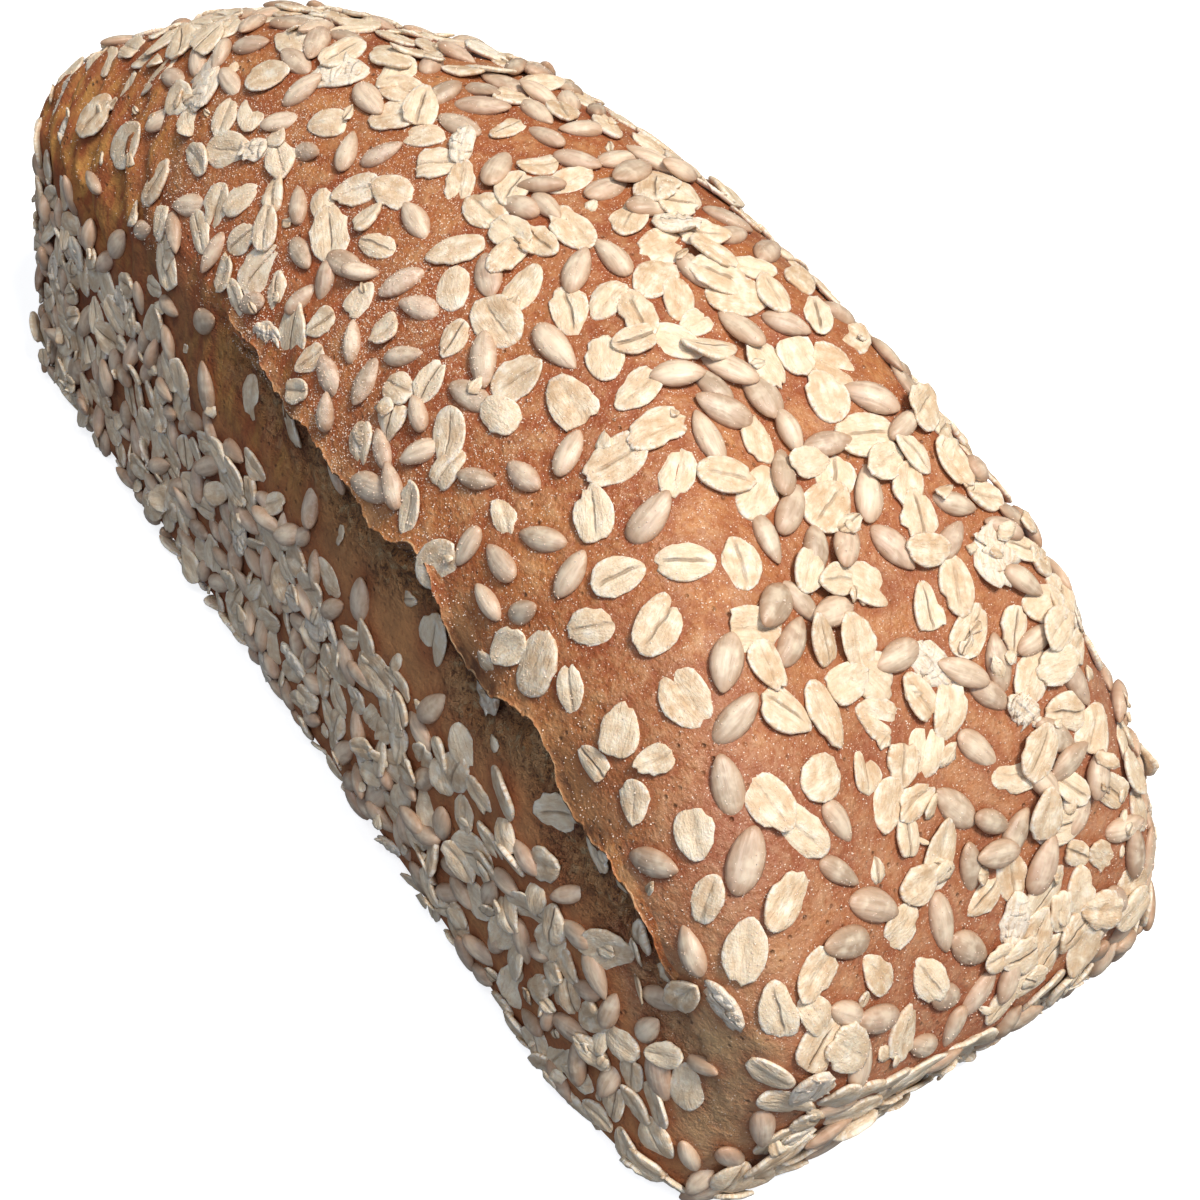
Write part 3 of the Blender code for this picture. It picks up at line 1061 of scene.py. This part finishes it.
def crust_material():
    shader = Shader("crust")
    where = shader.object_place()
    values = {name: shader.attribute(name).outputs["Fac"] for name in CRUST_VALUES}
    noises = {name: shader.noise(where, *size) for name, size in CRUST_NOISES.items()}
    at = SimpleNamespace(where=where, **values, **noises)
    pores = shader.span(shader.cells(where, 520.0).outputs["Distance"], 0.08, 0.22, 1.0, 0.0)
    pits = shader.times(pores, shader.span(shader.noise(where, 120.0, 2.0), 0.46, 0.58))
    colour = shader.coats(
        browned_crust(shader, at),
        *drawn_crust(shader, at),
        torn_crust(shader, at),
        # Painted contact shade: darker red crust round each topping
        (DEEP_CRUST, shader.times(at.near, 0.62)),
        (DEEP_CRUST, at.grain, 0.30, 0.46, 0.35, 0.0),
        (TORN_EDGE, shader.times(at.edge, 0.7)),
        # Painted shade in the pits, which the fine bump also dents
        (DARK_CRUST, shader.times(pits, 0.55)))
    # Specks of flour, and pink specks that are painted glints of sparkle
    for scale, size, left_out, tint, share in FLOUR_SPECKS_AND_GLINTS:
        most = shader.span(at.dust, 0.0, 1.0, left_out, 0.45)
        specks = speckle(shader, where, scale, size, most)
        colour = shader.mix(shader.times(specks, at.bake, share), colour, tint)

    torn_bump = shader.bump(shader.times(at.rubble, at.torn), 0.0040, 1.0)
    coarse = shader.bump(at.mottle, 0.0010, 0.8, torn_bump)
    fine = shader.bump(shader.math("SUBTRACT", at.grain, pits), 0.00032, 0.9, coarse)
    rough = shader.span(shader.times(at.mottle, at.bake), 0.10, 0.60, 0.80, 0.42)
    return shader.finish(Base_Color=colour, Roughness=rough, Normal=fine,
                         Specular_IOR_Level=0.50)


CREAM = (0.730, 0.575, 0.395)
PALE_CREAM = (0.830, 0.725, 0.560)
TOASTED = (0.540, 0.350, 0.200)
FLOUR = (0.850, 0.785, 0.690)
PALE_GRAIN = (0.90, 0.78, 0.66)
WARM_GRAIN = (0.78, 0.58, 0.44)
CREASE = (0.270, 0.145, 0.070)


def dusted(shader, colour):
    """Colour of a topping with the flour that fell on it."""
    dust = shader.attribute("tone").outputs["Alpha"]
    powder = shader.noise(shader.object_place(), 900.0, 3.0, 0.7)
    powder = shader.span(powder, 0.46, 0.62, 0.0, 0.55)
    return shader.mix(shader.times(powder, dust), colour, FLOUR_SPECK)


def oat_material(name, floury):
    """Cream oat flake, toasted and creased by differing amounts, or floury all over."""
    shader = Shader(name)
    tones, u, v, radius, spot, drawn = shader.places(0.42, 1.5)
    fibres = shader.noise(drawn, 1.0, 4.0, 0.6, 0.7)
    cloud = shader.noise(spot, 0.45, 3.0)
    toast = shader.times(tones[1], shader.span(cloud, 0.60, 0.36, 0.1, 0.80))
    tips = shader.times(shader.span(u, 2.6, 4.8), shader.span(fibres, 0.38, 0.58), 0.65)
    white = shader.math("MAXIMUM", shader.span(fibres, 0.42, 0.54, floury * 0.3, floury),
                        shader.span(cloud, 0.60, 0.72, 0.0, 0.5))
    rim = shader.times(shader.span(radius, 0.80, 0.98),
                       shader.span(shader.noise(spot, 1.5, 2.0), 0.44, 0.58, 0.0, 0.75))
    wander = shader.span(shader.noise(spot, 0.35, 1.0), 0.0, 1.0, -0.40, 0.40)
    from_line = shader.math("ABSOLUTE", shader.math("SUBTRACT", v, wander))
    line = shader.times(shader.span(from_line, 0.04, 0.34, 1.0, 0.0),
                        shader.span(shader.math("ABSOLUTE", u), 2.4, 3.8, 1.0, 0.0),
                        shader.span(tones[2], 0.35, 0.95))
    colour = shader.coats(
        CREAM,
        (PALE_CREAM, cloud, 0.35, 0.65),
        (TOASTED, toast),
        (TOASTED, tips),
        (TOASTED, fibres, 0.36, 0.52, 0.38, 0.0),
        (FLOUR, shader.math("MAXIMUM", white, rim)),
        (CREASE, shader.times(line, 0.60 * (1.0 - floury))))
    colour = dusted(shader, colour)
    height = shader.math("SUBTRACT", shader.times(fibres, 0.7), line)
    height = shader.math("ADD", height, shader.times(shader.noise(spot, 2.6, 2.0), 0.4))
    normal = shader.bump(height, 0.00042, 0.9)
    return shader.finish(Base_Color=colour, Normal=normal, Roughness=0.56,
                         Specular_IOR_Level=0.32, Subsurface_Weight=0.10,
                         Subsurface_Radius=(1.0, 0.65, 0.35), Subsurface_Scale=0.0010)


KERNEL_BEIGE = (0.745, 0.590, 0.440)
KERNEL_GREY = (0.430, 0.320, 0.230)
KERNEL_MAUVE = (0.560, 0.390, 0.290)
KERNEL_TIP = (0.300, 0.200, 0.120)
KERNEL_RIM_SHADE = (0.420, 0.225, 0.125)


def kernel_material():
    shader = Shader("sunflower_kernels")
    tones, u, _, radius, spot, drawn = shader.places(0.22, 1.4)
    streaks = shader.noise(drawn, 1.0, 3.0, 0.55)
    cloud = shader.noise(spot, 0.5, 2.0)
    colour = shader.coats(
        KERNEL_BEIGE,
        (KERNEL_GREY, tones[1], 0.1, 0.9),
        (KERNEL_MAUVE, tones[2], 0.50, 0.95, 0.0, 0.7),
        (KERNEL_TIP, streaks, 0.36, 0.56, 0.44, 0.0),
        (PALE_CREAM, cloud, 0.44, 0.66, 0.0, 0.50),
        (KERNEL_TIP, u, 3.4, 5.0, 0.0, 0.35),
        # Painted shade round the rounded rim, for a see-through look at the kernel's edge
        (KERNEL_RIM_SHADE, radius, 0.55, 1.0, 0.0, 0.60))
    colour = dusted(shader, colour)
    normal = shader.bump(streaks, 0.00024, 0.7)
    return shader.finish(Base_Color=colour, Normal=normal, Roughness=0.43,
                         Specular_IOR_Level=0.50, Subsurface_Weight=0.12,
                         Subsurface_Radius=(1.0, 0.6, 0.35), Subsurface_Scale=0.0012)


def flour_material():
    shader = Shader("flour_grains")
    shade = shader.noise(shader.object_place(), 900.0, 1.0)
    colour = shader.coats(PALE_GRAIN, (WARM_GRAIN, shade, 0.35, 0.65))
    return shader.finish(Base_Color=colour, Roughness=0.80)


# The loaf's pieces

def add_crust(items):
    bm, torn, fold = fine_crust()
    mesh = bpy.data.meshes.new("fine_crust")
    bm.to_mesh(mesh)
    bm.free()
    mesh.shade_smooth()
    coords = [vert.co.copy() for vert in mesh.vertices]
    values = {"torn": torn, "fold": fold, "near": painted_contact_shade(coords, items)}
    for key, rule in (("bake", baked), ("light", painted_sheen), ("warm", warmth), ("dust", crust_dust),
                      ("olive", bare_corner), ("hollow", red_hollow)):
        values[key] = [rule(co) for co in coords]
    write_values(mesh, values)
    return link("fine_crust", mesh)


def underside_toppings(rng):
    """Flakes and kernels pressed flush into the flat underside."""
    pieces = []
    down, along = Vector((0, 0, -1)), Vector((1, 0, 0))
    for _ in range(UNDERSIDE_TRIES):
        x, y = (rng.uniform(-reach, reach) for reach in UNDERSIDE_REACH)
        point = Vector((x, y, UNDERSIDE_LIFT))
        if any((point - other.point).length < UNDERSIDE_PITCH for other in pieces):
            continue
        kind = "kernel" if rng.random() < UNDERSIDE_KERNEL_SHARE else "flake"
        length = rng.uniform(*UNDERSIDE_LENGTH)
        width = length * rng.uniform(*UNDERSIDE_RATIO[kind])
        turn = rng.uniform(0, math.pi)
        pieces.append(Topping(point, down, along, kind, turn, length, width))
    return pieces


def loosen(toppings, tree, rng):
    """Set each topping on the fine crust and tip it a little."""
    for item in toppings:
        item.point = tree.find_nearest(item.point)[0]
        item.base += rng.gauss(-0.00012, 0.00012)
        loose = SIDE_LOOSENESS if item.normal.y < SIDE_FACING else 1.0
        item.lean_u += rng.gauss(0.0, 0.060 if item.kind == "flake" else 0.090) * loose
        if item.kind == "flake":
            item.lean_v += rng.gauss(0.0, 0.100) * loose


def topping_pieces(whole, broken, rng):
    """Items, shape and material of each piece made of toppings."""
    oats = [item for item in whole if item.kind == "flake"]
    kernels = [item for item in whole if item.kind == "kernel"]
    floury = [item for item in oats if rng.random() < FLOURY_SHARE]
    creased = [item for item in oats if item not in floury]
    middle = len(creased) // 2
    oat = oat_material("oat_flakes", 0.0)
    return {
        "oat_flakes": (creased[:middle], flake_shape, oat),
        "later_oat_flakes": (creased[middle:], flake_shape, oat),
        "floury_flakes": (floury, crushed, oat_material("floury_flakes", 0.60)),
        "oat_fragments": (broken, fragment_shape, oat),
        "sunflower_kernels": (kernels, kernel_shape, kernel_material()),
    }


def build_loaf():
    """Crust, lip, toppings and flour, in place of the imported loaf."""
    toppings, grid, rng = all_toppings()
    under = underside_toppings(rng)
    crust = add_crust(toppings + under)
    tree = BVHTree.FromObject(crust, bpy.context.evaluated_depsgraph_get())
    made = [crust, torn_lip(tree)]
    surface = crust_material()
    for obj in made:
        obj.data.materials.append(surface)
    loosen(toppings, tree, rng)
    broken = fragments(grid, rng)
    for item in broken:
        item.point = tree.find_nearest(item.point)[0]
    pieces = topping_pieces(toppings + under, broken, rng)
    for name, (items, shape, material) in pieces.items():
        made.append(joined(name, items, rng, shape))
        made[-1].data.materials.append(material)
    depsgraph = bpy.context.evaluated_depsgraph_get()
    grains = flour_grains([BVHTree.FromObject(obj, depsgraph) for obj in made], rng)
    grains.data.materials.append(flour_material())
    for obj in made + [grains]:
        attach(obj, "root")
    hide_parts("loaf")


# Floor, light and camera

FLOOR_SIZE = 6.0
FLOOR_COLOUR = (0.62, 0.62, 0.62)
FLOOR_GLOW = 0.74
SKY_COLOUR = (0.92, 0.97, 1.06)
SKY_STRENGTH = 0.18
LIGHT_AIM = Vector((0, 0, 0.04))

# Lights: direction from the loaf, distance, size, power and colour
LIGHTS = {
    "key": ((0.36, 0.06, 0.92), 1.0, 0.27, 10.7, (1.0, 0.935, 0.850)),
    "near_fill": ((0.95, -0.15, 0.30), 1.1, 0.60, 1.0, (0.96, 0.97, 1.00)),
    "side_fill": ((0.45, -0.62, 0.66), 1.1, 0.24, 1.9, (0.71, 0.93, 1.28)),
    "left_fill": ((0.20, -0.35, 0.92), 1.0, 0.30, 1.8, (1.0, 0.95, 0.88)),
}


def add_floor():
    bpy.ops.mesh.primitive_plane_add(size=FLOOR_SIZE, location=(0, 0, 0))
    floor = bpy.context.active_object
    floor.name = "floor"
    floor.visible_diffuse = False
    floor.visible_glossy = False
    shader = Shader("floor")
    floor.data.materials.append(shader.finish(
        Base_Color=FLOOR_COLOUR, Roughness=0.9, Emission_Color=(1.0, 1.0, 1.0),
        Emission_Strength=FLOOR_GLOW))


def add_light():
    """Even sky, and disc lights that aim at the loaf."""
    world = bpy.data.worlds.new("studio")
    world.use_nodes = True
    bpy.context.scene.world = world
    background = world.node_tree.nodes["Background"]
    background.inputs["Color"].default_value = (*SKY_COLOUR, 1.0)
    background.inputs["Strength"].default_value = SKY_STRENGTH
    for name, (direction, distance, size, power, colour) in LIGHTS.items():
        data = bpy.data.lights.new(name, "AREA")
        data.shape = "DISK"
        data.size = size
        data.energy = power
        data.color = colour
        light = link(name, data)
        away = Vector(direction).normalized()
        light.location = away * distance + LIGHT_AIM
        light.rotation_euler = away.to_track_quat("Z", "Y").to_euler()


def add_camera():
    """Camera that looks at its target from the photo's direction."""
    turn = (Matrix.Rotation(math.radians(VIEW_AZIMUTH), 4, "Z")
            @ Matrix.Rotation(math.radians(90.0 - VIEW_ELEVATION), 4, "X")
            @ Matrix.Rotation(math.radians(VIEW_ROLL), 4, "Z"))
    data = bpy.data.cameras.new("camera")
    data.sensor_width = SENSOR
    data.lens = FOCAL_PIXELS / IMAGE_PIXELS * SENSOR
    data.clip_start = 0.01
    camera = link("camera", data)
    away = turn.to_3x3() @ Vector((0.0, 0.0, VIEW_DISTANCE))
    camera.matrix_world = Matrix.Translation(VIEW_TARGET + away) @ turn
    bpy.context.scene.camera = camera


build_loaf()
add_floor()
add_light()
add_camera()
bpy.context.scene.view_settings.view_transform = "Standard"
bpy.context.view_layer.update()
